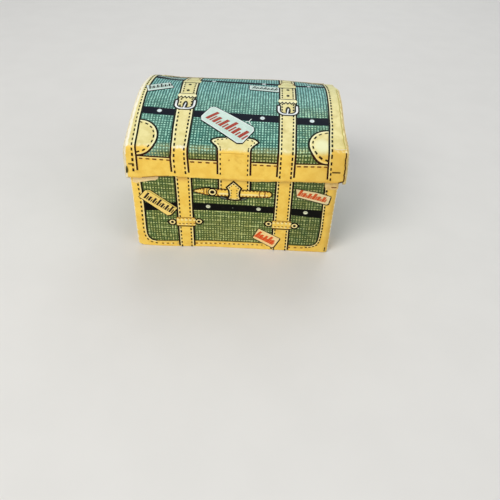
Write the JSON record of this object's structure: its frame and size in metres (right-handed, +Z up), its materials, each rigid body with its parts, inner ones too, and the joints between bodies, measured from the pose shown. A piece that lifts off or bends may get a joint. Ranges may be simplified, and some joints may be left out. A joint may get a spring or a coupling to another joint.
{
  "type": "miniature dome trunk",
  "caption": "Small folded-card toy trunk with a hinged dome lid, covered in paper printed with straps, slats and blank travel labels.",
  "frame": {"origin": "on the standing surface, under the middle of the closed trunk", "axes": "+X to the trunk's right as seen from the front, +Y to the back, +Z up"},
  "size_m": [0.0632, 0.0514, 0.0419],
  "materials": {
    "raw_card": "matt, unprinted grey-cream card",
    "base_print": "printed paper, satin varnish",
    "lid_print": "printed paper, satin varnish, faded",
    "hinge_strip": "plain dyed paper strip"
  },
  "bodies": {
    "base": {"base_strip_board": "raw_card", "base_end_board_left": "raw_card", "base_end_board_right": "raw_card", "base_front_paper": "base_print", "base_back_paper": "base_print", "base_end_paper_left": "base_print", "base_end_paper_right": "base_print", "hinge_strip_base_leaf": "hinge_strip"},
    "lid": {"lid_strip_board": "raw_card", "lid_end_board_left": "raw_card", "lid_end_board_right": "raw_card", "lid_strip_paper": "lid_print", "lid_end_paper_left": "lid_print", "lid_end_paper_right": "lid_print", "hinge_strip_lid_leaf": "hinge_strip"}
  },
  "joints": [
    {"name": "lid_hinge", "type": "hinge", "parent": "base", "child": "lid", "pos_m": [0, 0.02558, 0.03526], "axis": [-1, 0, 0], "range_deg": [0, 110]}
  ]
}
